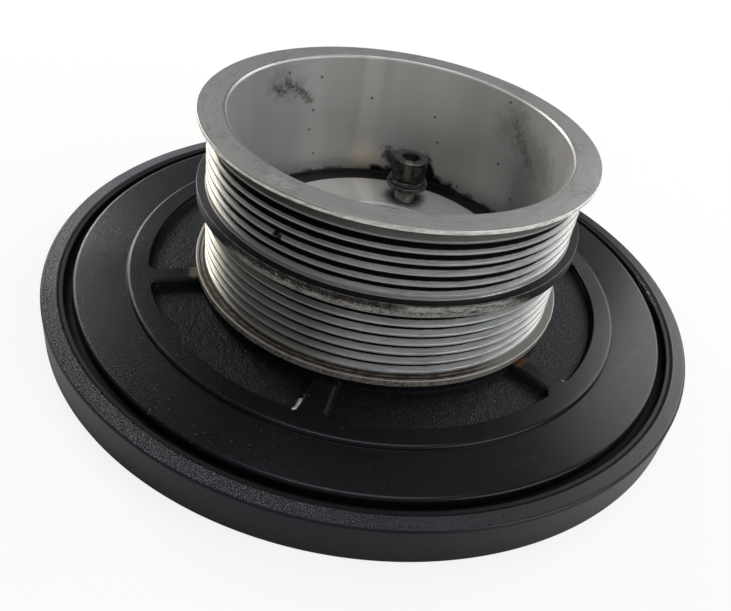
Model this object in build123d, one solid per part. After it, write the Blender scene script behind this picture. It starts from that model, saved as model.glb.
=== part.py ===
from build123d import *
from math import cos, radians, sin, tan
import os

# Harmonic balancer: a spoked cast hub, a bonded rubber ring, a heavy outer ring
# and a turned belt pulley with two poly-V tracks, held to the crankshaft flange
# by six screws. One screw is still in its hole, with its two washers.
# Millimetres. Z is the axis of rotation, the mounting face is at Z = 0.

# ---- outer ring and rubber ----
ring_outer_radius = 112.4
ring_height = 13.45
ring_width = 6.8                # from the rubber to the outside
ring_lip_width = 1.7            # turned shoulder next to the rubber
ring_lip_drop = 0.5
ring_edge_round = 1.2
rubber_thickness = 2.5
rubber_front_recess = 3.2       # below the hub's rim
rubber_back_recess = 2.0

# ---- belt pulley: poly-V tracks, PK section ----
rib_tip_radius = 61.1
groove_depth = 2.7
groove_pitch = 3.56
groove_half_angle = 20.0        # degrees
rib_tip_width = 0.70
grooves_per_track = 6
flange_rise = 2.9               # all three flanges, above the rib tips
flange_edge = 0.25              # broken edge of the flanges
wall_thickness = 3.2            # cup wall behind the grooves
mouth_chamfer = 0.9

pulley_height = 54.95           # seat face to front face
base_flange = 2.3               # thickness of the flange that sits on the hub
lower_land = 1.13               # plain land between base flange and lower track
middle_flange = 3.95
middle_upper_land = 1.46
middle_lower_land = 1.36
floor_thickness = 8.6           # seat face to clamping face
clamp_face_inset = 8.5          # clamping face inside the cup wall
clamp_face_rise = 1.0           # clamping face above the floor's corner channel
channel_radius = 1.2            # hollow corner between floor and wall

# ---- bores and bolt circle ----
bolt_circle_inset = 10.2        # bolt circle inside the edge of the clamping face
bolt_count = 6
bolt_clearance = 0.5            # hole in the pulley's floor, around the screw
thread_clearance = 0.1          # tapped hole in the hub, around the screw
pilot_inset = 9.1               # hole in the pulley's floor, inside the bolt circle
pilot_chamfer = 0.8
crank_inset = 7.4               # hub's bore inside the hole in the pulley's floor
crank_chamfer = 1.0

# ---- hub ----
rim_height = 13.8               # outer face of the hub
face_rise = 1.3                 # spokes and inner face above the rim
face_slope = 1.4                # width of the sloped step between them
seat_rise = 1.3                 # seat of the pulley above the spokes
seat_overhang = 0.7             # pulley flange reaches past its seat by this
pocket_width = 15.9             # from the seat outwards
pocket_border = 6.2             # inner face outside the pockets
pocket_depth = 2.7
pocket_corner = 2.8
spoke_width = 7.7
spoke_count = 6
spoke_angle = 83.4              # degrees; one spoke, and one bolt hole, lies here
edge_round = 0.8                # rounding of the hub's turned edges
back_relief_depth = 4.0
back_relief_border = 8.1        # mounting face outside the relief
back_relief_wall = 3.0          # seat to relief, measured outwards

# ---- screw and washers ----
screw_radius = 4.0              # M8
screw_length = 30.0
screw_lift = 5.6                # the screw stands this far out of its seat
screw_head_radius = 6.5
screw_head_height = 8.0
hex_across_flats = 6.0
hex_depth = 4.0
head_edge = 0.6
tip_chamfer = 0.8
washer_radius = 7.9
washer_thickness = 1.6
lock_washer_radius = 7.1
lock_washer_thickness = 2.0
lock_washer_gap = 1.2
washer_bore_clearance = 0.2
washer_edge = 0.25

# ---- radii worked out from the above ----
ring_inner_radius = ring_outer_radius - ring_width
hub_radius = ring_inner_radius - rubber_thickness
flange_radius = rib_tip_radius + flange_rise
cup_radius = rib_tip_radius - groove_depth - wall_thickness
clamp_face_radius = cup_radius - clamp_face_inset
bolt_circle_radius = clamp_face_radius - bolt_circle_inset
pilot_radius = bolt_circle_radius - pilot_inset
crank_radius = pilot_radius - crank_inset
seat_radius = flange_radius - seat_overhang
pocket_radius = seat_radius + pocket_width
face_radius = pocket_radius + pocket_border
back_relief_outer = hub_radius - back_relief_border

# ---- heights worked out from the above ----
face_height = rim_height + face_rise
seat_height = face_height + seat_rise
pulley_base = seat_height
pulley_top = pulley_base + pulley_height
clamp_face = pulley_base + floor_thickness
pocket_floor = face_height - pocket_depth
half_opening = (groove_pitch - rib_tip_width) / 2
track_length = grooves_per_track * groove_pitch - rib_tip_width
lower_track_start = pulley_base + base_flange + lower_land
middle_flange_drop = flange_rise * tan(radians(groove_half_angle))
middle_flange_base = lower_track_start + track_length + middle_lower_land + middle_flange_drop
upper_track_start = middle_flange_base + middle_flange + middle_upper_land
washer_base = clamp_face + screw_lift
head_base = washer_base + washer_thickness + lock_washer_thickness
screw_tip = head_base - screw_length


def turned(points):
    """Solid of revolution about Z from (radius, height) points."""
    return revolve(Plane.XZ * make_face(Polyline(*points, close=True)), Axis.Z)


def circle_edges(part, radius, height):
    """The circular edges of a turned part at one radius and height."""
    found = part.edges().filter_by(GeomType.CIRCLE)
    return found.filter_by(lambda e: abs(e.radius - radius) < 1e-3 and abs(e.arc_center.Z - height) < 1e-3)


def track_points(start):
    """V grooves of one belt track from its lower edge upwards, as (radius, height) points."""
    bottom = rib_tip_radius - groove_depth
    run = groove_depth * tan(radians(groove_half_angle))
    points = []
    for groove in range(grooves_per_track):
        low = start + groove * groove_pitch
        high = low + 2 * half_opening
        points += [(rib_tip_radius, low), (bottom, low + run), (bottom, high - run), (rib_tip_radius, high)]
    return points


def bolt_holes(radius, height):
    """Cylinders for the holes on the bolt circle, one in line with each spoke."""
    places = PolarLocations(bolt_circle_radius, bolt_count, spoke_angle)
    return [place * Cylinder(radius, height, align=(Align.CENTER, Align.CENTER, Align.MIN)) for place in places]


def belt_pulley():
    """Turned cup with two poly-V tracks between three flanges."""
    e = flange_edge
    base_top = pulley_base + base_flange
    middle_top = middle_flange_base + middle_flange
    outside = [(pilot_radius, pulley_base), (flange_radius - e, pulley_base), (flange_radius, pulley_base + e)]
    outside += [(flange_radius, base_top - e), (flange_radius - e, base_top), (rib_tip_radius, base_top)]
    outside += track_points(lower_track_start)
    outside += [(rib_tip_radius, middle_flange_base - middle_flange_drop)]
    outside += [(flange_radius, middle_flange_base), (flange_radius, middle_top - e)]
    outside += [(flange_radius - e, middle_top), (rib_tip_radius, middle_top)]
    outside += track_points(upper_track_start)
    last = upper_track_start + track_length
    outside += [(flange_radius, last + middle_flange_drop), (flange_radius, pulley_top - e)]
    outside += [(flange_radius - e, pulley_top)]
    channel = clamp_face - clamp_face_rise
    inside = [(cup_radius + mouth_chamfer, pulley_top), (cup_radius, pulley_top - mouth_chamfer)]
    inside += [(cup_radius, channel), (clamp_face_radius, channel), (clamp_face_radius, clamp_face)]
    inside += [(pilot_radius + pilot_chamfer, clamp_face), (pilot_radius, clamp_face - pilot_chamfer)]
    pulley = turned(outside + inside)
    pulley = fillet(circle_edges(pulley, cup_radius, channel), channel_radius)
    return pulley - bolt_holes(screw_radius + bolt_clearance, clamp_face)


def pocket_cuts():
    """Sector pockets between the spokes, from the seat's wall outwards."""
    bars = [Rot(0, 0, spoke_angle + i * 360 / spoke_count) * Pos(pocket_radius, 0)
            * Rectangle(2 * pocket_radius, spoke_width) for i in range(spoke_count)]
    sectors = Circle(pocket_radius) - Circle(seat_radius)
    for bar in bars:
        sectors -= bar
    rim_corners = sectors.vertices().filter_by(lambda v: Vector(v.X, v.Y).length > pocket_radius - 0.01)
    sectors = fillet(rim_corners, pocket_corner)
    return Pos(0, 0, pocket_floor) * extrude(sectors, seat_height - pocket_floor)


def damper_hub():
    """Spoked cast disc with its seat for the pulley, pilot bore and bolt holes."""
    relief_inner = seat_radius + back_relief_wall
    step_foot = face_radius + face_slope / 2
    step_top = face_radius - face_slope / 2
    hub = turned([
        (crank_radius + crank_chamfer, 0), (relief_inner, 0), (relief_inner, back_relief_depth),
        (back_relief_outer, back_relief_depth), (back_relief_outer, 0), (hub_radius, 0),
        (hub_radius, rim_height), (step_foot, rim_height), (step_top, face_height),
        (seat_radius, face_height), (seat_radius, seat_height), (crank_radius + crank_chamfer, seat_height),
        (crank_radius, seat_height - crank_chamfer), (crank_radius, crank_chamfer)])
    hub = fillet(circle_edges(hub, hub_radius, rim_height), edge_round)
    hub = fillet(circle_edges(hub, step_top, face_height), edge_round)
    return hub - pocket_cuts() - bolt_holes(screw_radius + thread_clearance, seat_height)


def rubber_ring():
    """Elastomer bonded between the hub and the outer ring."""
    top = rim_height - rubber_front_recess
    return turned([(hub_radius, rubber_back_recess), (ring_inner_radius, rubber_back_recess),
                   (ring_inner_radius, top), (hub_radius, top)])


def inertia_ring():
    """Heavy outer ring with a turned shoulder along the rubber."""
    lip = ring_inner_radius + ring_lip_width
    ring = turned([(ring_inner_radius, 0), (ring_outer_radius, 0), (ring_outer_radius, ring_height),
                   (lip, ring_height), (lip, ring_height - ring_lip_drop),
                   (ring_inner_radius, ring_height - ring_lip_drop)])
    rims = circle_edges(ring, ring_outer_radius, ring_height) + circle_edges(ring, ring_outer_radius, 0)
    return fillet(rims, ring_edge_round)


def on_bolt_axis(part):
    """Moves a piece from the Z axis to the hole that holds the screw."""
    a = radians(spoke_angle)
    return Pos(bolt_circle_radius * cos(a), bolt_circle_radius * sin(a), 0) * part


def cap_screw():
    """Socket head screw, partly unscrewed from the hub."""
    top = head_base + screw_head_height
    e = head_edge
    body = turned([(0, screw_tip), (screw_radius - tip_chamfer, screw_tip),
                   (screw_radius, screw_tip + tip_chamfer), (screw_radius, head_base),
                   (screw_head_radius, head_base), (screw_head_radius, top - e),
                   (screw_head_radius - e, top), (0, top)])
    hexagon = RegularPolygon(hex_across_flats / 2, 6, major_radius=False)
    socket = Pos(0, 0, top - hex_depth) * extrude(hexagon, hex_depth)
    return on_bolt_axis(body - socket)


def plain_ring(outer, base, thickness):
    """Washer blank with broken outer edges, around the screw."""
    inner = screw_radius + washer_bore_clearance
    e = washer_edge
    return turned([(inner, base), (outer - e, base), (outer, base + e), (outer, base + thickness - e),
                   (outer - e, base + thickness), (inner, base + thickness)])


def spring_washer():
    """Split lock washer under the screw's head."""
    base = washer_base + washer_thickness
    ring = plain_ring(lock_washer_radius, base, lock_washer_thickness)
    split = Pos(lock_washer_radius, 0, base) * Rot(35, 0, 0) * Box(2 * lock_washer_radius, lock_washer_gap, 8 * lock_washer_thickness)
    return on_bolt_axis(Rot(0, 0, 205) * (ring - split))


def flat_washer():
    """Plain washer below the lock washer, captive on the screw."""
    return on_bolt_axis(plain_ring(washer_radius, washer_base, washer_thickness))


os.makedirs("parts", exist_ok=True)
for make in (damper_hub, rubber_ring, inertia_ring, belt_pulley, cap_screw, spring_washer, flat_washer):
    export_step(make(), f"parts/{make.__name__}.step")
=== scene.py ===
import bpy
import numpy as np
from mathutils import Matrix, Vector


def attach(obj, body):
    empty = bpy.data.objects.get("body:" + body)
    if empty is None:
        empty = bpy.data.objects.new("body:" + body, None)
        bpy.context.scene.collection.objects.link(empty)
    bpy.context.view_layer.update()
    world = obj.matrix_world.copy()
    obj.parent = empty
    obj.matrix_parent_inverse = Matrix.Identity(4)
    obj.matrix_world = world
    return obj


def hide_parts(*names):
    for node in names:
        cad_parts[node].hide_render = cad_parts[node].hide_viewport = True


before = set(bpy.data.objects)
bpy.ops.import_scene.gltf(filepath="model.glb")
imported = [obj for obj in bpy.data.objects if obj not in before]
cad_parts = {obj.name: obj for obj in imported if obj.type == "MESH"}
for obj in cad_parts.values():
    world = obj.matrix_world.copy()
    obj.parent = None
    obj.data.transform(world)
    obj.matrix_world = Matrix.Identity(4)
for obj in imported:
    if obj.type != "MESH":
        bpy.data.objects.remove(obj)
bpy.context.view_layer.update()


# ---------------------------------------------------------------- camera
# Looks down 37 degrees into the open cup and is tilted 11 degrees about its
# own line of sight, so the balancer seems to lean to the right.
MM = 0.001
look_down, tilt = 0.6461305, 0.1957541          # radians
eye = (6.433 * MM, -226.383 * MM, 168.828 * MM)
picture_width, focal_length, centre_shift = 731, 753.3987, -22.627          # pixels
ahead = Vector((0, np.cos(look_down), -np.sin(look_down)))
level_up = Vector((0, np.sin(look_down), np.cos(look_down)))
cam_right = Vector((1, 0, 0)) * np.cos(tilt) + level_up * np.sin(tilt)
cam_up = level_up * np.cos(tilt) - Vector((1, 0, 0)) * np.sin(tilt)
cam_data = bpy.data.cameras.new("camera")
cam_data.sensor_width = 36
cam_data.lens = focal_length * 36 / picture_width
cam_data.shift_x = centre_shift / picture_width
cam_data.clip_start, cam_data.clip_end = 0.01, 20
camera = bpy.data.objects.new("camera", cam_data)
camera.matrix_world = Matrix((*zip(cam_right, cam_up, -ahead, eye), (0, 0, 0, 1)))
bpy.context.scene.collection.objects.link(camera)
bpy.context.scene.camera = camera


# ---------------------------------------------------------------- damper hub
# Cast iron disc with six spokes between shallow pockets, a raised seat for the
# pulley and a turned rim. It is coated satin black all over, also in the pockets.
def blended(corners, blend, steps=4, closed=True):
    """Outline through (radius, height) corners in mm. Each corner gives way to a parabolic arc
    P(s) = (1-s)^2 A + 2s(1-s) C + s^2 B that starts and ends `blend` mm from it (a pair if they differ)."""
    c = np.asarray(corners, float)
    reach = [blend] * len(c) if isinstance(blend, float) else blend
    b = np.array([pair if isinstance(pair, tuple) else (pair, pair) for pair in reach])
    before, after = np.roll(c, 1, 0) - c, np.roll(c, -1, 0) - c
    a = c + before / np.linalg.norm(before, axis=1, keepdims=True) * b[:, :1]
    e = c + after / np.linalg.norm(after, axis=1, keepdims=True) * b[:, 1:]
    s = np.linspace(0, 1, steps)[None, :, None]
    arcs = (1 - s) ** 2 * a[:, None] + 2 * s * (1 - s) * c[:, None] + s ** 2 * e[:, None]
    return arcs.reshape(-1, 2) if closed else np.vstack([c[:1], arcs[1:-1].reshape(-1, 2), c[-1:]])


def spin(outline, angles):
    """Grid (outline point, angle): the point (r, z) turned by a lies at (r cos a, r sin a, z)."""
    r, z = outline[:, 0, None], outline[:, 1, None]
    return np.stack([r * np.cos(angles), r * np.sin(angles), z + 0 * angles], -1)


def grid_quads(rows, columns, close_rows=False, close_columns=True):
    """Corner numbers of the quads between neighbouring rows and columns of a grid."""
    i = np.arange(rows if close_rows else rows - 1)[:, None]
    j = np.arange(columns if close_columns else columns - 1)[None, :]
    k, m = (i + 1) % rows, (j + 1) % columns
    return np.stack([i * columns + j, i * columns + m, k * columns + m, k * columns + j], -1).reshape(-1, 4)


def add_piece(name, parts, material, slot, *nodes):
    """Mesh from (points in mm, quads) parts. Coinciding points are joined, quads that this folds to
    three corners become triangles, and the piece rides on the body."""
    points = np.concatenate([p.reshape(-1, 3) for p, _ in parts])
    starts = np.cumsum([0] + [p.size // 3 for p, _ in parts[:-1]])
    quads = np.concatenate([q + n for (_, q), n in zip(parts, starts)])
    _, first, places = np.unique(np.round(points, 4), axis=0, return_index=True, return_inverse=True)
    quads = places.reshape(-1)[quads]
    differs = quads != np.roll(quads, -1, axis=1)
    whole, folded = differs.sum(1) == 4, differs.sum(1) == 3
    corners = np.concatenate([quads[whole].ravel(), quads[folded][differs[folded]]])
    sizes = np.repeat([4, 3], [whole.sum(), folded.sum()])
    mesh = bpy.data.meshes.new(name)
    mesh.vertices.add(len(first))
    mesh.vertices.foreach_set("co", (points[first] * MM).ravel())
    mesh.loops.add(len(corners))
    mesh.loops.foreach_set("vertex_index", corners.astype(np.int32))
    mesh.polygons.add(len(sizes))
    mesh.polygons.foreach_set("loop_start", (np.cumsum(sizes) - sizes).astype(np.int32))
    mesh.polygons.foreach_set("use_smooth", np.ones(len(sizes), bool))
    mesh.update(calc_edges=True)
    mesh.validate()
    piece = bpy.data.objects.new(name, mesh)
    bpy.context.scene.collection.objects.link(piece)
    mesh.materials.append(material)
    piece.modifiers.new("even_shading", "WEIGHTED_NORMAL")
    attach(piece, "root")
    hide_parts(*nodes)


def lumps(x, y, cell, seed):
    """Value noise: corners of square cells get heights from -1 to 1, blended smoothly in between."""
    def height(i, j):
        h = np.sin(i * 127.1 + j * 311.7 + seed) * 43758.5453
        return (h - np.floor(h)) * 2 - 1
    i, j = np.floor(x / cell), np.floor(y / cell)
    u, v = x / cell - i, y / cell - j
    u, v = u * u * (3 - 2 * u), v * v * (3 - 2 * v)
    low = height(i, j) * (1 - u) + height(i + 1, j) * u
    high = height(i, j + 1) * (1 - u) + height(i + 1, j + 1) * u
    return low * (1 - v) + high * v


def polar(radius, degrees):
    """Flat points (r cos a, r sin a)."""
    a = np.radians(degrees)
    return np.stack([radius * np.cos(a), radius * np.sin(a)], -1)


hub_arms = -96.6 + 60 * np.arange(6)            # directions of the spokes and bolt holes, degrees
bolt_circle, seat_height, hub_radius = 36.5, 16.4, 103.1            # mm


def bolt_plate(inner, outer, hole, low, high, arc, circle=bolt_circle, edge=0.3):
    """Flat ring with six holes. In each sixth, rings of points run from its border to the hole's edge
    (border + t (edge - border)), down the hole's wall and back out along the underside."""
    side = np.linspace(inner, outer, 14)
    border = np.concatenate([
        polar(side[:-1], -30), polar(outer, arc[:-1]), polar(side[:0:-1], 30), polar(inner, arc[:0:-1])])
    centre = np.array([circle, 0.0])
    ray = border - centre
    ray = ray / np.linalg.norm(ray, axis=1, keepdims=True)
    t = np.array([0, 0.15, 0.35, 0.55, 0.75, 0.9, 1])[:, None, None]
    flat = border + t * (centre + ray * (hole + edge) - border)
    wall = centre + ray * np.array([hole + edge * 0.3, hole, hole, hole + edge * 0.3])[:, None, None]
    plan = np.concatenate([flat, wall, flat[::-1]])
    heights = np.array([high] * 7 + [high - edge * 0.3, high - edge, low + edge,
                                     low + edge * 0.3] + [low] * 7)
    grid = np.concatenate([plan, np.broadcast_to(heights[:, None, None], plan.shape[:2] + (1,))], -1)
    quads = grid_quads(*plan.shape[:2])
    parts = []
    for arm in np.radians(hub_arms):
        turn = np.array([[np.cos(arm), np.sin(arm), 0], [-np.sin(arm), np.cos(arm), 0], [0, 0, 1]])
        parts.append((grid @ turn, quads))
    return parts


def hub_parts():
    """Rows run along the turned outline from under the pulley, over the rim and back along the rear face.
    Columns follow the spokes' edges: at radius r an edge lies at asin(half width / r). The pockets are
    sunk by depth * smoothstep(distance inside the pocket's rounded outline), with cast lumps below."""
    seat, pocket_wall, spoke_half, corner = 63.3, 79.2, 3.85, 2.8
    rim_height, face_height, pocket_depth = 13.8, 15.1, 2.7
    near = np.array([0.1, 0.2, 0.3, 0.42, 0.55, 0.7, 0.88, 1.1, 1.35, 1.65, 2.0, 2.35, 2.7, 3.1, 3.6, 4.2])
    pocket_t = np.concatenate([[0], near, np.linspace(5, 33.3, 39)]) / 33.3
    half = np.concatenate([[0, 0.5, 0.85], 1 + pocket_t])
    across = np.concatenate([-half[:0:-1], half])
    rows_r = np.concatenate([
        [60, 62.9, 63.15, 63.3, 63.3, 63.4, 63.6, 63.9, 64.3], np.arange(64.8, 76.3, 0.6),
        [76.8, 77.2, 77.6, 77.9, 78.15, 78.4, 78.6, 78.75, 78.9],
        [79.0, 79.1, 79.2, 79.32, 79.45, 79.6, 79.9, 80.5]])
    rows_z = np.where(np.arange(len(rows_r)) < 3, seat_height, face_height)
    rows_z[2:4] = 16.38, 16.2
    rim = blended([(83.6, face_height), (86.1, face_height), (86.5, rim_height), (hub_radius, rim_height),
                   (hub_radius, 0), (95, 0), (95, 4), (66.3, 4), (66.3, 0), (60, 0)],
                  [0, (1.1, 0.75), 0.1, 1.35, 0.4, 0.4, 0.4, 0.4, 0.4, 0], 8, closed=False)
    r = np.concatenate([rows_r, rim[:, 0]])[:, None]
    z = np.concatenate([rows_z, rim[:, 1]])[:, None]
    edge = np.degrees(np.arcsin(spoke_half / np.clip(r, seat, pocket_wall)))
    turn = np.where(np.abs(across) < 1, across * edge,
                    np.sign(across) * (edge + (np.abs(across) - 1) * (30 - edge)))
    xy = polar(r, turn)
    to_wall, to_spoke = pocket_wall - r, np.abs(xy[..., 1]) - spoke_half
    round_off = corner - np.hypot(np.maximum(corner - to_wall, 0), np.maximum(corner - to_spoke, 0))
    inside = np.minimum(np.minimum(to_wall, to_spoke), round_off)
    sunk = np.clip((inside + 0.25) / 0.9, 0, 1)
    row = np.arange(len(r))
    sunk = sunk * sunk * (3 - 2 * sunk) * ((row > 3) & (row < len(rows_r)))[:, None]
    parts, quads = [], grid_quads(len(r), len(across), close_columns=False)
    for arm in hub_arms:
        a = np.radians(arm)
        x = xy[..., 0] * np.cos(a) - xy[..., 1] * np.sin(a)
        y = xy[..., 0] * np.sin(a) + xy[..., 1] * np.cos(a)
        cast = 0.07 * lumps(x, y, 1.7, 3) + 0.05 * lumps(x, y, 0.9, 8)
        parts.append((np.stack([x, y, z - pocket_depth * sunk + cast * sunk ** 3], -1), quads))
    seat_turn = turn[0]
    parts += bolt_plate(23, 60, 4.1, 0, seat_height, seat_turn)
    bore = blended([(23, seat_height), (21, seat_height), (20, 15.4), (20, 1), (21, 0), (23, 0)], 0.15, 3,
                   closed=False)
    around = (hub_arms[:, None] + seat_turn[None, :-1]).ravel()
    parts.append((spin(bore, np.radians(around)), grid_quads(len(bore), len(around))))
    return parts


def put(tree, kind, values=None, **settings):
    """Adds a shader node. Each value is a number, a colour or the output of another node."""
    node = tree.nodes.new("ShaderNode" + kind)
    for key, value in settings.items():
        setattr(node, key, value)
    for key, value in (values or {}).items():
        if isinstance(value, bpy.types.NodeSocket):
            tree.links.new(value, node.inputs[key])
        else:
            node.inputs[key].default_value = value
    return node


def calc(tree, operation, *values):
    return put(tree, "Math", dict(enumerate(values)), operation=operation).outputs[0]


def fade(tree, value, none, full):
    """0 where the value is at `none`, 1 where it is at `full`, smooth between them."""
    return put(tree, "MapRange", {0: value, 1: none, 2: full}, interpolation_type="SMOOTHSTEP").outputs[0]


def chain(operation):
    """Function that joins any number of values or masks, from left to right, with one operation."""
    def join(tree, *values):
        result = values[0]
        for value in values[1:]:
            result = calc(tree, operation, result, value)
        return result
    return join


times, add, less = chain("MULTIPLY"), chain("ADD"), chain("SUBTRACT")
most, least = chain("MAXIMUM"), chain("MINIMUM")


def span(tree, value, low, high, soft):
    """1 between low and high, falling to 0 over `soft` on both sides."""
    return times(tree, fade(tree, value, low - soft, low), fade(tree, value, high + soft, high))


def mixed(tree, share, a, b):
    """Colour a where the share is 0 and b where it is 1."""
    def colour(c):
        return c if isinstance(c, bpy.types.NodeSocket) else (*c, 1)
    return put(tree, "Mix", {0: share, 6: colour(a), 7: colour(b)}, data_type="RGBA").outputs[2]


def level(tree, share, a, b):
    """Number a where the share is 0 and b where it is 1."""
    return put(tree, "Mix", {0: share, 2: a, 3: b}, data_type="FLOAT").outputs[0]


def cloud(tree, vector, scale, detail=3.0, rough=0.5):
    return put(tree, "TexNoise", {"Vector": vector, "Scale": scale, "Detail": detail,
                                  "Roughness": rough}).outputs[0]


degrees_per_radian = 57.2958


def place(tree):
    """Object coordinates in mm: the vector, x, y, height, distance from the axis, and angle in degrees."""
    where = put(tree, "TexCoord").outputs["Object"]
    mm = put(tree, "VectorMath", {0: where, "Scale": 1000.0}, operation="SCALE").outputs[0]
    x, y, z = put(tree, "SeparateXYZ", {0: mm}).outputs
    radius = calc(tree, "SQRT", add(tree, times(tree, x, x), times(tree, y, y)))
    angle = times(tree, calc(tree, "ARCTAN2", y, x), degrees_per_radian)
    return mm, x, y, z, radius, angle


def off_line(tree, x, y, start, end):
    """Distance in mm from the line between two points: |p - a - h (b - a)| with h clamped to 0..1."""
    dx, dy = end[0] - start[0], end[1] - start[1]
    px, py = less(tree, x, start[0]), less(tree, y, start[1])
    along = add(tree, times(tree, px, dx), times(tree, py, dy))
    h = put(tree, "Clamp", {0: calc(tree, "DIVIDE", along, dx * dx + dy * dy)}).outputs[0]
    qx = less(tree, px, times(tree, h, dx))
    qy = less(tree, py, times(tree, h, dy))
    return calc(tree, "SQRT", add(tree, times(tree, qx, qx), times(tree, qy, qy)))


def specks(tree, vector, scale, size, share):
    """Small round dots, one in some of the cells of a cell pattern."""
    cells = put(tree, "TexVoronoi", {"Vector": vector, "Scale": scale})
    chosen = fade(tree, put(tree, "SeparateColor", {0: cells.outputs["Color"]}).outputs[0], share + 0.01,
                  share)
    return times(tree, fade(tree, cells.outputs["Distance"], size, size * 0.5), chosen)


def new_finish(name, **fixed):
    """Material with the given fixed shader values; returns it with its tree and shader."""
    material = bpy.data.materials.new(name)
    material.use_nodes = True
    shader = material.node_tree.nodes["Principled BSDF"]
    for key, value in fixed.items():
        shader.inputs[key.replace("_", " ")].default_value = value
    return material, material.node_tree, shader


def feed(tree, shader, **sockets):
    for key, socket in sockets.items():
        tree.links.new(socket, shader.inputs[key.replace("_", " ")])


def bumps(tree, height, depth_mm):
    """Surface relief: a height of 1 stands depth_mm above 0."""
    return put(tree, "Bump", {"Height": height, "Distance": depth_mm * MM, "Strength": 1.0}).outputs[0]


def hub_finish():
    """Satin black coat: near smooth on turned faces, grainy in the cast pockets, dusty on the left."""
    material, tree, shader = new_finish("hub_coat")
    mm, x, y, z, radius, angle = place(tree)
    pocket = times(tree, fade(tree, z, 14.2, 13.0), fade(tree, radius, 80.2, 79.6))
    grain = add(tree, times(tree, cloud(tree, mm, 1.25, 2.0, 0.5), 0.6),
                times(tree, cloud(tree, mm, 2.7, 2.0, 0.5), 0.4))
    fine = cloud(tree, mm, 1.7, 3.0, 0.7)
    left = fade(tree, x, 35.0, -55.0)
    tone = mixed(tree, cloud(tree, mm, 0.05, 2.0), (0.0040, 0.0041, 0.0047), (0.0070, 0.0072, 0.0082))
    behind = fade(tree, y, -60, -10)
    tone = mixed(tree, times(tree, pocket, fade(tree, grain, 0.5, 0.66), level(tree, behind, 0.4, 1.0)),
                 tone, (0.016, 0.0165, 0.019))
    dust = most(tree, specks(tree, mm, 0.62, 0.17, 0.30), specks(tree, mm, 1.15, 0.20, 0.16))
    dusty = times(tree, dust, level(tree, pocket, 0.35, 0.75),
                  fade(tree, cloud(tree, mm, 0.06), 0.44, 0.60), left,
                  level(tree, fade(tree, y, -20, 20), 1.0, 0.15))
    tone = mixed(tree, dusty, tone, (0.36, 0.36, 0.35))
    # Painted highlight: the rounded edges of the step and the rim are painted lighter on the left, where
    # the left lamp shines on them.
    left_edge_highlight = times(tree, most(tree, span(tree, radius, 85.4, 86.4, 0.25),
                                 span(tree, radius, 102.0, 103.0, 0.3)), fade(tree, x, -35, -80),
                      fade(tree, y, -55, -15), 0.7)
    tone = mixed(tree, left_edge_highlight, tone, (0.10, 0.10, 0.105))
    # Painted light: the flat band between the pockets and the step is painted lighter at the front right.
    right_band_light = times(tree, span(tree, radius, 79.5, 84.9, 0.3), fade(tree, x, 45, 75), fade(tree, y, -50, -5))
    tone = mixed(tree, right_band_light, tone, (0.036, 0.037, 0.036))
    chip = fade(tree, add(tree, off_line(tree, x, y, (-12.9, -71.6), (-13.9, -77.8)),
                          times(tree, fine, 1.6)), 1.75, 1.25)
    # Painted highlight: a faint light line along the right edge of the front spoke.
    spoke_edge_highlight = fade(tree, add(tree, off_line(tree, x, y, (-4.2, -66.0), (-5.0, -77.6)),
                            times(tree, fine, 0.8)), 0.95, 0.55)
    front = fade(tree, z, 9.0, 10.0)
    tone = mixed(tree, times(tree, spoke_edge_highlight, front, 0.28), tone, (0.09, 0.09, 0.09))
    worn = fade(tree, add(tree, off_line(tree, x, y, (54.5, -34.9), (65.6, -43.6)), times(tree, fine, 0.6)),
                0.62, 0.45)
    tone = mixed(tree, times(tree, chip, front), tone, (0.62, 0.62, 0.60))
    tone = mixed(tree, times(tree, worn, fade(tree, z, 14.6, 15.0)), tone, (0.33, 0.33, 0.34))
    rust = fade(tree, add(tree, off_line(tree, x, y, (50.5, -39.5), (53.4, -35.0)),
                          times(tree, grain, 4.0)), 4.3, 2.6)
    tone = mixed(tree, times(tree, rust, front), tone, (0.075, 0.034, 0.017))
    clay = fade(tree, add(tree, off_line(tree, x, y, (-59.3, -26.5), (-60.3, -21.5)),
                          times(tree, grain, 4.0)), 4.4, 2.8)
    tone = mixed(tree, times(tree, clay, front), tone, (0.16, 0.125, 0.09))
    oiled = span(tree, angle, -160, -112, 16)
    turned = level(tree, fade(tree, x, 20, 60), level(tree, oiled, 0.30, 0.13),
                   level(tree, fade(tree, y, 0, 55), 0.19, 0.33))
    shaded = times(tree, span(tree, radius, 78.4, 79.8, 0.3), fade(tree, z, 15.05, 14.7),
                   fade(tree, x, 30, 50))
    sheen = level(tree, shaded, level(tree, pocket, turned,
                                      level(tree, left, 0.25, level(tree, behind, 0.08, 0.15))), 0.03)
    gloss = level(tree, pocket, 0.17, 0.34)
    gloss = add(tree, gloss, times(tree, cloud(tree, mm, 0.3), 0.12))
    relief = level(tree, pocket, times(tree, fine, level(tree, left, 0.015, 0.17)), grain)
    feed(tree, shader, Base_Color=tone, Roughness=gloss, Specular_IOR_Level=sheen,
         Specular_Tint=mixed(tree, left, (0.93, 0.94, 1), (0.76, 0.85, 1)),
         Normal=bumps(tree, relief, 0.65))
    return material


add_piece("hub_casting", hub_parts(), hub_finish(), "hub_coat", "damper_hub")


# ---------------------------------------------------------------- rubber ring
# Elastomer vulcanised between the hub and the outer ring. It lies deep in its
# gap and shows only as a dark line, slightly hollow where it shrank on cooling.
def rubber_finish():
    material, tree, shader = new_finish("rubber", Specular_IOR_Level=0.12)
    mm = place(tree)[0]
    grain = cloud(tree, mm, 1.2)
    feed(tree, shader, Base_Color=mixed(tree, grain, (0.0008, 0.0008, 0.0009), (0.0022, 0.0022, 0.0024)),
         Roughness=level(tree, grain, 0.6, 0.8), Normal=bumps(tree, grain, 0.15))
    return material


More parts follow.
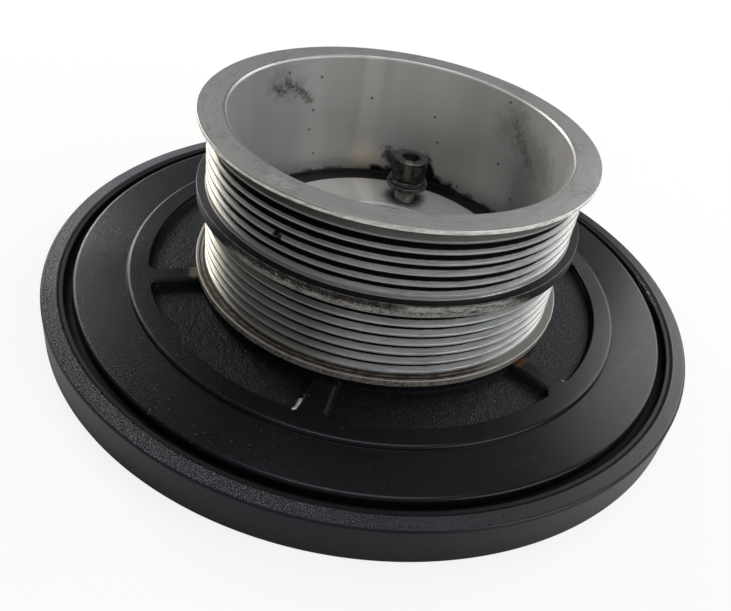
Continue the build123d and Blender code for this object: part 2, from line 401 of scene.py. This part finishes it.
ring_bore = 105.6                               # mm
band = np.array([(hub_radius, 2.0), (104.3, 2.6), (ring_bore, 2.0), (ring_bore, 10.6), (105.2, 10.3),
                 (104.3, 10.0), (103.5, 10.3), (hub_radius, 10.6)])
add_piece("rubber_band", [(spin(band, np.radians(np.arange(0, 360, 0.5))), grid_quads(8, 720, True))],
          rubber_finish(), "rubber", "rubber_ring")


# ---------------------------------------------------------------- inertia ring
# Heavy cast iron ring, turned smooth outside and along the rubber, with its
# front face left as cast under the black coat.
def ring_parts():
    """Turned outline with the front face raised and lowered by cast lumps, faded out at its edges."""
    rim, height = 112.38, 13.45
    start = blended([(ring_bore, 0), (rim, 0), (rim, height), (111.0, height)], [0.3, 1.2, 1.2, 0.1], 7,
                    closed=False)
    face = np.linspace(111.15, 107.85, 16)
    end = blended([(107.8, height), (107.6, 13.4), (106.95, 12.95), (ring_bore, 12.95), (ring_bore, 0)],
                  [0.02, 0.15, 0.25, 0.25, 0.3], 4, closed=False)
    outline = np.vstack([start[:-1], np.stack([face, height + 0 * face], -1), end[:-1]])
    grid = spin(outline, np.radians(np.arange(0, 360, 0.25)))
    x, y = grid[..., 0], grid[..., 1]
    edges = np.minimum(outline[:, 0] - 107.75, 111.6 - outline[:, 0]) / 0.5
    fades = np.clip(edges, 0, 1) * (outline[:, 1] > 13)
    fades = fades[:, None] * np.clip((45 - x) / 90, 0.15, 1)
    grid[..., 2] += fades * (0.06 * lumps(x, y, 1.6, 5) + 0.05 * lumps(x, y, 0.8, 2) - 0.12)
    return [(grid, grid_quads(*grid.shape[:2], True))]


def ring_finish():
    """The hub's coat, with a grainy front face whose grains are painted light as glints on the left, and a
    few bright nicks.
    """
    material, tree, shader = new_finish("ring_coat")
    mm, x, y, z, radius, angle = place(tree)
    face = times(tree, fade(tree, z, 12.8, 13.2), span(tree, radius, 107.3, 111.8, 0.3))
    grain = cloud(tree, mm, 2.1, 2.0, 0.55)
    fine = cloud(tree, mm, 3.0, 2.0)
    left = fade(tree, x, 60.0, -40.0)
    glare = times(tree, fade(tree, y, -75, -25), fade(tree, x, -40, -90))
    tone = mixed(tree, cloud(tree, mm, 0.04), (0.0040, 0.0042, 0.0048), (0.0070, 0.0073, 0.0084))
    # Painted glints: the face's grains are painted lighter on the left side only, lightest at the far left.
    tone = mixed(tree, times(tree, face, fade(tree, grain, 0.52, 0.66), level(tree, left, 0.10, 1.0)), tone,
                 mixed(tree, glare, (0.042, 0.044, 0.050), (0.085, 0.088, 0.098)))
    tone = mixed(tree, times(tree, face, specks(tree, mm, 1.3, 0.22, 0.10), left), tone, (0.30, 0.30, 0.31))
    nick = times(tree, fade(tree, cloud(tree, mm, 0.9, 4.0, 0.7), 0.57, 0.63),
                 span(tree, angle, 7, 17, 1.0), span(tree, radius, 105.5, 106.7, 0.3))
    tone = mixed(tree, nick, tone, (0.30, 0.29, 0.27))
    relief = level(tree, face, times(tree, fine, 0.05), times(tree, grain, level(tree, left, 0.08, 1.0)))
    lip = fade(tree, radius, 107.4, 107.2)
    feed(tree, shader, Base_Color=tone, Roughness=level(tree, times(tree, face, left), 0.36, 0.30),
         Specular_IOR_Level=level(tree, face, level(tree, lip, 0.30, 0.20),
                                  level(tree, left, 0.36, level(tree, glare, 0.42, 0.85))),
         Normal=bumps(tree, relief, 0.6), Specular_Tint=mixed(tree, left, (0.93, 0.94, 1), (0.76, 0.85, 1)))
    return material


add_piece("outer_ring", ring_parts(), ring_finish(), "ring_coat", "inertia_ring")


# ---------------------------------------------------------------- belt pulley
# Turned steel cup: two tracks of six V grooves for ribbed belts between three
# flanges, a smooth bore and a floor with a raised clamping face and six holes.
groove_pitch, groove_opening = 3.56, 2.86        # mm
rib_tip, groove_bottom = 61.1, 58.4             # radii, mm
groove_slope = np.tan(np.radians(20))           # sideways per mm of depth
track_starts = 19.83, 48.316                    # lower edges of the two tracks, mm


def track(start):
    """Corners of six V grooves, one pitch apart, upwards from the track's lower edge."""
    low = start + groove_pitch * np.arange(6)[:, None]
    run = 2.7 * groove_slope
    return np.stack([np.tile([rib_tip, groove_bottom, groove_bottom, rib_tip], (6, 1)),
                     low + np.array([0, run, groove_opening - run, groove_opening])], -1).reshape(-1, 2)


def pulley_parts():
    """Turned outline of the cup: from under its floor, over grooves and mouth, to the clamping face."""
    flange, cup_bore, height = 64, 55.2, 71.35
    slope = (flange - rib_tip) * groove_slope
    foot = np.array([(46.2, seat_height), (flange, seat_height), (flange, 18.7), (rib_tip, 18.7)])
    middle = np.array([(rib_tip, 41.85), (flange, 41.85 + slope), (flange, 46.86), (rib_tip, 46.86)])
    mouth = np.array([(flange, 68.98 + slope), (flange, height), (55.85, height), (cup_bore, 70.7),
                      (cup_bore, 24.45), (54.75, 24.0), (46.7, 24.0), (46.7, 25.0), (46.2, 25.0)])
    corners = np.vstack([foot, track(track_starts[0]), middle, track(track_starts[1]), mouth])
    outline = blended(corners, np.full(len(corners), 0.17), 3, closed=False)
    around = np.radians(hub_arms[0] - 30 + np.arange(384) * 60 / 64)
    parts = [(spin(outline, around), grid_quads(len(outline), 384))]
    bore = blended([(28.6, 25), (28.2, 25), (27.4, 24.2), (27.4, seat_height), (28.6, seat_height)], 0.12,
                   3, closed=False)
    parts.append((spin(bore, around), grid_quads(len(bore), 384)))
    return parts + bolt_plate(28.6, 46.2, 4.5, seat_height, 25, np.linspace(-30, 30, 65))


def nearest(tree, u, v, spots):
    """Distance in mm to the nearest of some spots."""
    here = put(tree, "CombineXYZ", {0: u, 1: v}).outputs[0]
    gaps = [put(tree, "VectorMath", {0: here, 1: (*spot, 0)},
                operation="DISTANCE").outputs["Value"] for spot in spots]
    return least(tree, *gaps)


def strokes(tree, u, v, noise, ends, width):
    """Ragged marks along lines: 1 on a line, 0 beyond `width`, the border moved by noise."""
    ragged = times(tree, less(tree, noise, 0.5), width * 2.2)
    marks = [fade(tree, add(tree, off_line(tree, u, v, a, b), ragged), width, width * 0.2) for a, b in ends]
    return most(tree, *marks)


def pulley_finish():
    """Bare turned steel with belt dust in the grooves, black coat left on the middle flange, brown grime on
    the lowest one, and black grease in the floor's channel. Marks follow radius, height and angle; on the
    inner wall, u is the distance round the wall from the +X side."""
    material, tree, shader = new_finish("pulley_steel")
    mm, x, y, z, radius, angle = place(tree)
    turned_x = calc(tree, "DIVIDE", x, radius)
    turned_y = calc(tree, "DIVIDE", y, radius)

    def turning(around, through):
        """Noise coordinates that run round the axis without a seam; `through` is per mm of depth."""
        depth = times(tree, add(tree, radius, z), through)
        return put(tree, "CombineXYZ", {0: times(tree, turned_x, around), 1: times(tree, turned_y, around),
                                        2: depth}).outputs[0]

    streaks = cloud(tree, turning(3.0, 1.7), 1.0, 4.0, 0.6)
    scratches = cloud(tree, turning(9.0, 5.0), 1.0, 3.0, 0.7)
    drawn = cloud(tree, turning(22.0, 1.1), 1.0, 4.0, 0.65)
    blotch = cloud(tree, mm, 0.07, 4.0, 0.6)
    fleck = cloud(tree, mm, 1.1, 4.0, 0.65)
    tiny = cloud(tree, mm, 2.6, 2.0, 0.6)
    outside = fade(tree, radius, 57.2, 57.6)
    mouth = fade(tree, z, 71.0, 71.3)
    groove_side = times(tree, outside, fade(tree, z, 71.2, 70.9))
    steel = mixed(tree, streaks, (0.56, 0.555, 0.54), (0.70, 0.695, 0.675))
    steel = mixed(tree, groove_side, steel, mixed(tree, streaks, (0.56, 0.565, 0.57), (0.72, 0.73, 0.735)))
    steel = mixed(tree, times(tree, groove_side, fade(tree, scratches, 0.42, 0.70)), steel,
                  (0.36, 0.365, 0.37))
    # Painted shade with an olive tint: the grooved side is darkened at the left middle, most on the lower
    # track.
    olive_shade = times(tree, groove_side, span(tree, angle, -146, -106, 16),
                  level(tree, fade(tree, z, 46, 40), 0.5, 1.0))
    steel = mixed(tree, times(tree, olive_shade, 0.8), steel, (0.27, 0.265, 0.235))
    # Painted highlight: the grooved sides far left and right get a warm tint, paler on the left, that
    # colours the lamps' reflections there.
    warm_side_highlight = times(tree, groove_side, most(tree, fade(tree, angle, 140, 165),
                                          most(tree, fade(tree, angle, -135, -160),
                                               fade(tree, angle, -45, -20))))
    steel = mixed(tree, warm_side_highlight, steel, mixed(tree, fade(tree, x, -20, 20), (0.64, 0.59, 0.50),
                                            (0.52, 0.505, 0.475)))
    steel = mixed(tree, times(tree, mouth, fade(tree, scratches, 0.45, 0.75)), steel, (0.46, 0.455, 0.44))
    steel = mixed(tree, times(tree, mouth, fade(tree, blotch, 0.48, 0.66), fade(tree, fleck, 0.4, 0.7)),
                  steel, (0.36, 0.35, 0.33))
    scuff = times(tree, mouth, strokes(tree, x, y, fleck, [((-29.5, -52.0), (-24.5, -54.5))], 2.6),
                  fade(tree, tiny, 0.42, 0.6))
    steel = mixed(tree, scuff, steel, (0.80, 0.80, 0.78))

    # Belt tracks: dust below a radius that differs from groove to groove, lowest groove first.
    upper, lower = span(tree, z, 47.0, 69.4, 0.4), span(tree, z, 18.9, 41.9, 0.3)
    groove = calc(tree, "FLOOR", calc(tree, "DIVIDE", less(tree, z, 47.96), groove_pitch))
    filled = 59.35
    for number, dust_radius in enumerate((59.65, 59.9, 59.65, 60.0, 60.15, 58.75)):
        filled = level(tree, calc(tree, "COMPARE", groove, float(number), 0.5), filled, dust_radius)
    wander = times(tree, less(tree, drawn, 0.5), 0.42)
    thin_left = times(tree, most(tree, fade(tree, angle, -125, -165), fade(tree, angle, -55, -20)), -0.35)
    thick = times(tree, upper, span(tree, angle, -142, -106, 14), level(tree, scratches, 0.0, 0.35))
    swept = times(tree, fade(tree, x, -47, -58), -1.1)
    dust_top = add(tree, add(tree, add(tree, filled, wander), thin_left), add(tree, thick, swept))
    dust = times(tree, fade(tree, less(tree, radius, dust_top), 0.16, -0.10), most(tree, upper, lower),
                 outside)
    # First rib, under the top flange: brown grime, darkened further as painted shade from the flange,
    # darkest on the left.
    first_rib_grime_and_shade = times(tree, span(tree, z, 65.2, 67.8, 0.25), fade(tree, radius, 57.5, 58.0))
    steel = mixed(tree, times(tree, first_rib_grime_and_shade, level(tree, fleck, 0.6, 1.0)), steel,
                  mixed(tree, fade(tree, angle, -118, -100), (0.060, 0.056, 0.048), (0.19, 0.18, 0.16)))
    tips = times(tree, upper, fade(tree, radius, 60.85, 61.0))
    steel = mixed(tree, times(tree, tips, 0.5), steel, (0.22, 0.22, 0.215))
    pits = times(tree, fade(tree, tiny, 0.66, 0.72), groove_side, fade(tree, blotch, 0.42, 0.6))
    gouge = times(tree, fade(tree, add(tree, nearest(tree, angle, z, [(-117.0, 55.6), (-115.6, 55.0)]),
                                       times(tree, fleck, 1.6)), 1.75, 1.4), upper)
    steel = mixed(tree, times(tree, pits, 0.7), steel, (0.05, 0.046, 0.042))
    dirty = most(tree, dust, gouge)
    chipped = times(tree, fade(tree, tiny, 0.44, 0.56), span(tree, angle, -58, -46, 2.5),
                    span(tree, z, 46.8, 47.35, 0.1), fade(tree, radius, 61.6, 61.4), outside)
    tone = mixed(tree, dirty, steel, (0.0045, 0.0045, 0.005))
    tone = mixed(tree, times(tree, chipped, 0.9), tone, (0.90, 0.90, 0.88))

    # Outer edge of the mouth: the turned band painted bright as a highlight, with a dark line above it.
    lip = times(tree, fade(tree, z, 70.0, 70.2), fade(tree, z, 71.30, 71.15),
                fade(tree, radius, 63.7, 63.9))
    tone = mixed(tree, lip, tone, mixed(tree, fade(tree, drawn, 0.35, 0.6), (0.50, 0.49, 0.44),
                                        (0.84, 0.83, 0.76)))
    line = times(tree, span(tree, z, 71.12, 71.30, 0.05), fade(tree, radius, 63.6, 63.8),
                 fade(tree, angle, -85, -110))
    tone = mixed(tree, times(tree, line, 0.8), tone, (0.06, 0.055, 0.05))

    # Middle flange: black coat, worn to streaky steel on the side that faces the belts' run.
    flange = times(tree, span(tree, z, 42.75, 47.1, 0.15), fade(tree, radius, 61.25, 61.5))
    facing = span(tree, angle, -124, -52, 10)
    wall = fade(tree, radius, 63.75, 63.95)
    rub = add(tree, add(tree, times(tree, drawn, 0.6), times(tree, tiny, 0.5)),
              times(tree, fade(tree, z, 46.2, 43.8), 0.20))
    bare = times(tree, fade(tree, rub, 0.58, 0.84), wall, facing)
    polished = times(tree, span(tree, angle, -77, -54, 7), span(tree, z, 44.9, 46.2, 0.5), wall,
                     fade(tree, drawn, 0.34, 0.52))
    strip = times(tree, fade(tree, z, 43.4, 43.1), wall, span(tree, angle, -135, -45, 8),
                  fade(tree, drawn, 0.36, 0.5))
    edges = times(tree, most(tree, fade(tree, z, 46.65, 46.75), fade(tree, z, 43.05, 42.95)), wall,
                  fade(tree, drawn, 0.30, 0.60))
    bare = most(tree, most(tree, bare, polished),
                most(tree, times(tree, strip, 0.8), times(tree, edges, 0.35)))
    coat = mixed(tree, times(tree, fade(tree, fleck, 0.46, 0.62), facing, wall), (0.006, 0.0063, 0.0072),
                 (0.055, 0.040, 0.031))
    lit = times(tree, fade(tree, x, -42, -56), fade(tree, z, 44.2, 45.6))
    coat = mixed(tree, times(tree, lit, 0.8), coat, (0.075, 0.080, 0.092))
    tone = mixed(tree, flange, tone, mixed(tree, bare, coat,
                                           mixed(tree, fleck, (0.20, 0.18, 0.155), (0.72, 0.70, 0.65))))
    dirty = level(tree, flange, dirty, less(tree, 1.0, bare))

    # Lowest flange: brown oily grime with two dark lines on its upper face, painted lighter towards both
    # sides as a highlight, and a painted highlight on its outer top edge.
    foot = times(tree, fade(tree, z, 19.6, 19.0), fade(tree, radius, 60.5, 61.2))
    # Painted highlight along the outer top edge.
    foot_edge_highlight = times(tree, fade(tree, z, 18.3, 18.5), span(tree, radius, 63.7, 64.1, 0.1))
    lines = most(tree, span(tree, radius, 61.2, 61.6, 0.15), span(tree, radius, 62.6, 62.95, 0.15))
    grime = mixed(tree, fade(tree, drawn, 0.38, 0.62), (0.050, 0.038, 0.029), (0.21, 0.175, 0.145))
    # Painted highlight: the grime is lighter towards both sides.
    grime = mixed(tree, times(tree, fade(tree, calc(tree, "ABSOLUTE", add(tree, angle, 104)), 40, 66),
                              0.85), grime, (0.40, 0.385, 0.36))
    grime = mixed(tree, times(tree, fade(tree, radius, 63.8, 63.9), fade(tree, fleck, 0.4, 0.6)), grime,
                  (0.30, 0.28, 0.25))
    grime = mixed(tree, times(tree, lines, fade(tree, z, 18.4, 18.6), fade(tree, x, 52, 34)), grime,
                  (0.010, 0.009, 0.008))
    grime = mixed(tree, times(tree, fade(tree, x, 36, 52), level(tree, drawn, 0.5, 1.0)), grime,
                  (0.155, 0.145, 0.125))
    tone = mixed(tree, foot, tone, mixed(tree, times(tree, foot_edge_highlight, 0.8), grime, (0.55, 0.53, 0.49)))
    dirty = level(tree, foot, dirty, level(tree, foot_edge_highlight, 0.75, 0.1))

    # Inner wall: oil smudges, specks, painted warm sheens, painted shade and shadow, and grease that climbs
    # from the channel.
    mm_per_degree = 0.9634
    u = times(tree, angle, mm_per_degree)
    wall_side = times(tree, fade(tree, radius, 54.6, 55.0), fade(tree, radius, 56.5, 56.0))
    bands = cloud(tree, put(tree, "CombineXYZ",
                            {0: times(tree, turned_x, 2.6), 1: times(tree, turned_y, 2.6),
                             2: times(tree, z, 0.008)}).outputs[0], 1.0, 3.0, 0.5)
    tone = mixed(tree, times(tree, wall_side, fade(tree, bands, 0.40, 0.66), 0.45), tone,
                 (0.40, 0.40, 0.39))
    shade = most(tree, fade(tree, angle, 120, 160), fade(tree, angle, -110, -150))
    tone = mixed(tree, times(tree, wall_side, shade, 0.75), tone, (0.33, 0.33, 0.33))
    # Painted sheen: the back wall is lighter a little right of the middle.
    tone = mixed(tree, times(tree, wall_side, span(tree, angle, 58, 78, 16), 0.5), tone, (0.86, 0.85, 0.81))
    sheen = times(tree, span(tree, u, 101.0, 104.5, 3.5), fade(tree, z, 28, 40))
    # Painted shadow: the wall's right-hand end darkens, most low down.
    corner = times(tree, wall_side, span(tree, angle, 16, 34, 9), fade(tree, z, 62, 34), 0.5)
    tone = mixed(tree, corner, tone, (0.17, 0.17, 0.175))
    glow = fade(tree, nearest(tree, u, z, [(101.5, 30.0)]), 10.5, 1.0)
    tone = mixed(tree, times(tree, wall_side, sheen, 0.45), tone, (0.80, 0.77, 0.69))
    tone = mixed(tree, times(tree, wall_side, glow, 0.85), tone, (0.97, 0.84, 0.70))
    smoky = cloud(tree, mm, 0.30, 5.0, 0.65)
    dark = strokes(tree, u, z, smoky, [((143.5, 62.0), (140.2, 59.5)), ((138.0, 62.6), (133.3, 59.0)),
                                       ((131.2, 58.0), (127.3, 54.8)), ((43.0, 62.0), (37.5, 57.0)),
                                       ((38.5, 56.5), (31.0, 52.0))], 2.6)
    haze = strokes(tree, u, z, smoky, [((143.0, 64.0), (136.0, 60.5)), ((46.0, 59.0), (20.0, 56.0)),
                                       ((43.0, 63.0), (29.0, 51.0))], 8.0)
    tone = mixed(tree, times(tree, wall_side, haze, fade(tree, fleck, 0.1, 0.7), 0.36), tone,
                 (0.09, 0.08, 0.07))
    tone = mixed(tree, times(tree, wall_side, dark, fade(tree, fleck, 0.28, 0.62),
                             level(tree, fade(tree, u, 60, 90), 0.45, 0.85)), tone, (0.040, 0.033, 0.028))
    drops = nearest(tree, u, z, [(137.8, 66.5), (123.4, 63.3), (125.8, 50.5), (126.7, 42.7), (123.8, 32.3),
                                 (102.2, 55.2), (46.0, 44.1), (35.5, 34.5), (76.6, 52.1), (73.6, 42.1),
                                 (47.6, 68.3), (61.4, 26.9)])
    tone = mixed(tree, times(tree, wall_side,
                             fade(tree, add(tree, drops, times(tree, tiny, 0.5)), 1.0, 0.6), 0.75), tone,
                 (0.03, 0.027, 0.025))
    # Dark marks beside the screw's head: part grease, part painted shadow of the head.
    smear_and_shadow = times(tree, wall_side, strokes(tree, u, z, smoky,
                                           [((84, 26), (88, 33)), ((92.6, 33.4), (89.0, 28.0))], 3.8))
    splash = times(tree, wall_side, strokes(tree, u, z, smoky,
                                            [((76.4, 33.5), (73.5, 27.5)), ((75.5, 26.5), (66, 24.5))],
                                            3.4))
    tone = mixed(tree, times(tree, smear_and_shadow, 0.9), tone, (0.020, 0.018, 0.017))
    ragged = times(tree, less(tree, cloud(tree, mm, 0.22, 5.0, 0.65), 0.5), 8.0)
    rise = add(tree, level(tree, span(tree, angle, 74, 97, 16), 24.4, 26.4), ragged)
    climbing = times(tree, fade(tree, less(tree, z, rise), 2.0, -1.0), wall_side)
    channel = times(tree, span(tree, radius, 46.9, 55.3, 0.3), fade(tree, z, 24.9, 24.5))
    grease = most(tree, most(tree, climbing, splash), channel)
    tone = mixed(tree, grease, tone, (0.009, 0.0085, 0.008))
    dirty = most(tree, dirty, most(tree, grease, times(tree, smear_and_shadow, 0.7)))

    # Clamping face: clean metal with a bright streak, oil round the screw and round the empty holes.
    floor_face = times(tree, fade(tree, z, 25.2, 25.1), fade(tree, z, 24.7, 24.9),
                       fade(tree, radius, 47.2, 46.8))
    streak = times(tree, floor_face, span(tree, angle, 105, 111, 4))
    tone = mixed(tree, times(tree, streak, 0.6), tone, (0.85, 0.83, 0.78))
    holes = [tuple(float(c) for c in polar(bolt_circle, arm)) for arm in hub_arms + 180]
    wet = fade(tree, add(tree, nearest(tree, x, y, holes), times(tree, smoky, 4.0)), 9.0, 5.5)
    screw_spot = (4.2, 36.3)
    halo = fade(tree, add(tree, nearest(tree, x, y, [screw_spot]), times(tree, smoky, 5.0)), 13.0, 6.5)
    oil = times(tree, floor_face, most(tree, times(tree, wet, 0.75), halo))
    tone = mixed(tree, oil, tone, (0.035, 0.036, 0.038))
    dirty = most(tree, dirty, times(tree, oil, 0.6))
    gloss = add(tree, level(tree, dirty, level(tree, mouth, 0.36, 0.24), 0.42), times(tree, streaks, 0.12))
    relief = add(tree, times(tree, streaks, 0.25), times(tree, tiny, 0.12))
    relief = add(tree, relief, times(tree, times(tree, flange, fleck), 0.9))
    feed(tree, shader, Base_Color=tone, Metallic=level(tree, dirty, level(tree, mouth, 0.45, 0.9), 0.0),
         Roughness=less(tree, gloss, times(tree, flange, 0.12)),
         Specular_IOR_Level=level(tree, dirty, 0.5, 0.22), Normal=bumps(tree, relief, 0.09))
    return material


add_piece("belt_cup", pulley_parts(), pulley_finish(), "pulley_steel", "belt_pulley")


# ---------------------------------------------------------------- washers
# Plain washer and split lock washer, plated steel under old oil. Both hang
# under the head of the screw that is half out of its hole.
screw_axis = np.append(polar(bolt_circle, hub_arms[3]), 0)


def oily_finish(name, dark, light, rough):
    """Steel under a film of old oil: dirt gathers in blotches."""
    material, tree, shader = new_finish(name)
    mm = place(tree)[0]
    film = cloud(tree, mm, 0.55, 5.0, 0.65)
    fine = cloud(tree, mm, 2.4, 3.0)
    dirt = fade(tree, film, 0.42, 0.64)
    tone = mixed(tree, dirt, light, dark)
    feed(tree, shader, Base_Color=tone, Metallic=level(tree, dirt, 1.0, 0.45),
         Roughness=add(tree, rough, times(tree, fine, 0.2)), Normal=bumps(tree, fine, 0.07))
    return material


washer_steel = oily_finish("washer_steel", (0.030, 0.029, 0.028), (0.22, 0.215, 0.205), 0.28)
plain = blended([(4.2, 30.6), (7.9, 30.6), (7.9, 32.2), (4.2, 32.2)], 0.25, 4)
add_piece("plain_washer", [(spin(plain, np.radians(np.arange(0, 360, 5))) + screw_axis,
                            grid_quads(16, 72, True))], washer_steel, "washer_steel", "flat_washer")


def split_ring():
    """Rounded square section carried from one side of the gap to the other, rising a little on the way;
    a first and a last row shrunk to the section's middle close its two ends."""
    section = blended([(4.25, 32.25), (7.1, 32.25), (7.1, 34.0), (4.25, 34.0)], 0.3, 4)
    turn = np.linspace(6, 354, 71)
    grid = spin(section, np.radians(turn)).transpose(1, 0, 2)
    grid[..., 2] += (turn / 354 * 0.15)[:, None]
    ends = grid[[0, -1]].mean(1, keepdims=True) + 0 * grid[[0, -1]]
    grid = np.concatenate([ends[:1], grid, ends[1:]])
    grid = grid[:, ::-1] @ np.array([[-0.906, -0.423, 0], [0.423, -0.906, 0], [0, 0, 1]])
    return [(grid + screw_axis, grid_quads(*grid.shape[:2]))]


add_piece("lock_washer", split_ring(), washer_steel, "washer_steel", "spring_washer")


# ---------------------------------------------------------------- cap screw
# M8 socket head screw, the only one in the six holes. It is backed out by
# 5.6 mm, so a few turns of its thread show above the pulley's floor.
def screw_parts():
    """Rows run from the tip's middle up the thread, over the head and down the socket to its middle. At
    angle a and height z the thread's depth follows the distance to the nearest crest, z / pitch - a / 360
    deg; the socket's radius is apothem / cos(angle from the middle of the nearest flat)."""
    turn = np.arange(0, 360, 360 / 216)
    tip, neck, top = 4.2, 33.6, 42.2
    pitch, thread_depth, knurl_depth, apothem = 1.25, 0.62, 0.07, 3.0
    shank_z = np.arange(tip + 0.8, neck, 0.2)
    shank = np.stack([np.full(len(shank_z), 4.0), shank_z], -1)
    head = blended([(4, neck), (4, 34.2), (6.5, 34.2), (6.5, top), (3.7, top)], [0.1, 0.1, 0.3, 0.6, 0.1],
                   5, closed=False)
    outline = np.vstack([[(0, tip), (3.2, tip)], shank, head[1:-1]])
    r = outline[:, 0, None] + 0 * turn
    z = outline[:, 1, None] + 0 * turn
    crest = np.abs((z / pitch - turn / 360) % 1 - 0.5) * 2
    threaded = (z > tip + 0.7) & (z < neck - 0.5) & (r > 3.5)
    r = r - threaded * thread_depth * np.clip(crest * 1.25 - 0.12, 0, 1)
    knurl = (outline[:, 0] > 6.45) & (outline[:, 1] > 34.6) & (outline[:, 1] < 41.7)
    r = r - knurl[:, None] * knurl_depth * (1 + np.cos(np.radians(turn * 36)))
    flat = apothem / np.cos(np.radians(turn % 60 - 30))
    socket_r = np.stack([flat + 0.35, flat + 0.1, flat, flat, 0.55 * flat, 0 * flat])
    socket_z = np.array([top, top - 0.08, top - 0.35, 38.2, 37.6, 37.3])[:, None] + 0 * turn
    r, z = np.vstack([r, socket_r]), np.vstack([z, socket_z])
    a = np.radians(turn)
    grid = np.stack([r * np.cos(a), r * np.sin(a), z], -1) + screw_axis
    return [(grid, grid_quads(*r.shape))]


def screw_finish():
    """Blackened steel, oily at its foot, rubbed bright round the head's rim, darker in the socket, with a
    painted highlight down the front of the head.
    """
    material, tree, shader = new_finish("screw_steel")
    mm, x, y, z = place(tree)[:4]
    off = off_line(tree, x, y, tuple(screw_axis[:2]), (screw_axis[0] + 0.01, screw_axis[1]))
    film = cloud(tree, mm, 0.5, 5.0, 0.65)
    fine = cloud(tree, mm, 2.2, 3.0)
    tone = mixed(tree, fade(tree, film, 0.38, 0.62), (0.11, 0.105, 0.095), (0.028, 0.026, 0.024))
    rim = times(tree, fade(tree, z, 41.7, 42.0), fade(tree, off, 3.4, 4.2))
    tone = mixed(tree, times(tree, rim, fade(tree, film, 0.3, 0.6), 0.6), tone, (0.22, 0.215, 0.205))
    # Painted highlight: a light streak down the front of the head's side.
    side = times(tree, span(tree, x, 2.9, 4.6, 0.9), fade(tree, y, 36, 34), fade(tree, z, 34.0, 36.5),
                 fade(tree, film, 0.3, 0.55))
    tone = mixed(tree, times(tree, side, 0.7), tone, (0.34, 0.31, 0.28))
    shank = times(tree, fade(tree, z, 31.0, 30.2), level(tree, fine, 0.6, 1.0))
    tone = mixed(tree, shank, tone, (0.42, 0.41, 0.39))
    # The socket is painted darker.
    pit = times(tree, fade(tree, off, 3.45, 3.1), fade(tree, z, 36.5, 37.0))
    tone = mixed(tree, pit, tone, (0.015, 0.014, 0.013))
    feed(tree, shader, Base_Color=tone, Metallic=level(tree, pit, 0.9, 0.2),
         Roughness=add(tree, 0.26, times(tree, fine, 0.22)), Normal=bumps(tree, fine, 0.08))
    return material


add_piece("socket_screw", screw_parts(), screw_finish(), "screw_steel", "cap_screw")


# ---------------------------------------------------------------- studio
# Pale floor, a soft lamp behind on each side, a weaker one overhead and one at
# the right, a little to the front. The floor looks near white to the camera.
floor_mesh = bpy.data.meshes.new("floor")
floor_mesh.from_pydata([(-3, -3, 0), (3, -3, 0), (3, 3, 0), (-3, 3, 0)], [], [(0, 1, 2, 3)])
floor = bpy.data.objects.new("floor", floor_mesh)
bpy.context.scene.collection.objects.link(floor)
paper, paper_tree, paper_shader = new_finish("paper", Base_Color=(0.9, 0.9, 0.9, 1), Roughness=0.9)
seen = put(paper_tree, "LightPath").outputs["Is Camera Ray"]
white = put(paper_tree, "Emission", {"Color": (1, 1, 1, 1), "Strength": 1.0}).outputs[0]
lifted = put(paper_tree, "MixShader", {0: times(paper_tree, seen, 0.85), 1: paper_shader.outputs[0],
                                       2: white})
paper_tree.links.new(lifted.outputs[0], paper_tree.nodes["Material Output"].inputs[0])
floor_mesh.materials.append(paper)


def softbox(name, azimuth, height, distance, width, tall, brightness, colour):
    """Lamp that faces the object from an azimuth (0 behind, positive right) and a height, in degrees.
    A brightness of 1 is white; power = pi * area * brightness."""
    a, h = np.radians(azimuth), np.radians(height)
    lamp = bpy.data.lights.new(name, "AREA")
    lamp.shape, lamp.size, lamp.size_y, lamp.color = "RECTANGLE", width, tall, colour
    lamp.energy = float(np.pi * width * tall * brightness)
    o = bpy.data.objects.new(name, lamp)
    o.location = distance * Vector((np.sin(a) * np.cos(h), np.cos(a) * np.cos(h), np.sin(h)))
    o.rotation_euler = (-o.location).to_track_quat("-Z", "Y").to_euler()
    bpy.context.scene.collection.objects.link(o)


softbox("left_window", -49, 25, 1.1, 0.38, 0.50, 12.0, (1, 0.95, 0.88))
softbox("right_window", 45, 30, 1.1, 0.66, 0.56, 4.2, (0.98, 0.985, 1))
softbox("ceiling_lamp", 0, 82, 1.2, 0.6, 0.6, 2.5, (0.98, 0.99, 1))
softbox("front_lamp", 116, 30, 1.1, 0.7, 0.7, 3.0, (0.99, 0.995, 1))
world = bpy.data.worlds.new("world")
world.use_nodes = True
world.node_tree.nodes["Background"].inputs["Color"].default_value = (0.95, 0.98, 1, 1)
world.node_tree.nodes["Background"].inputs["Strength"].default_value = 0.24
bpy.context.scene.world = world
bpy.context.scene.view_settings.view_transform = "Standard"
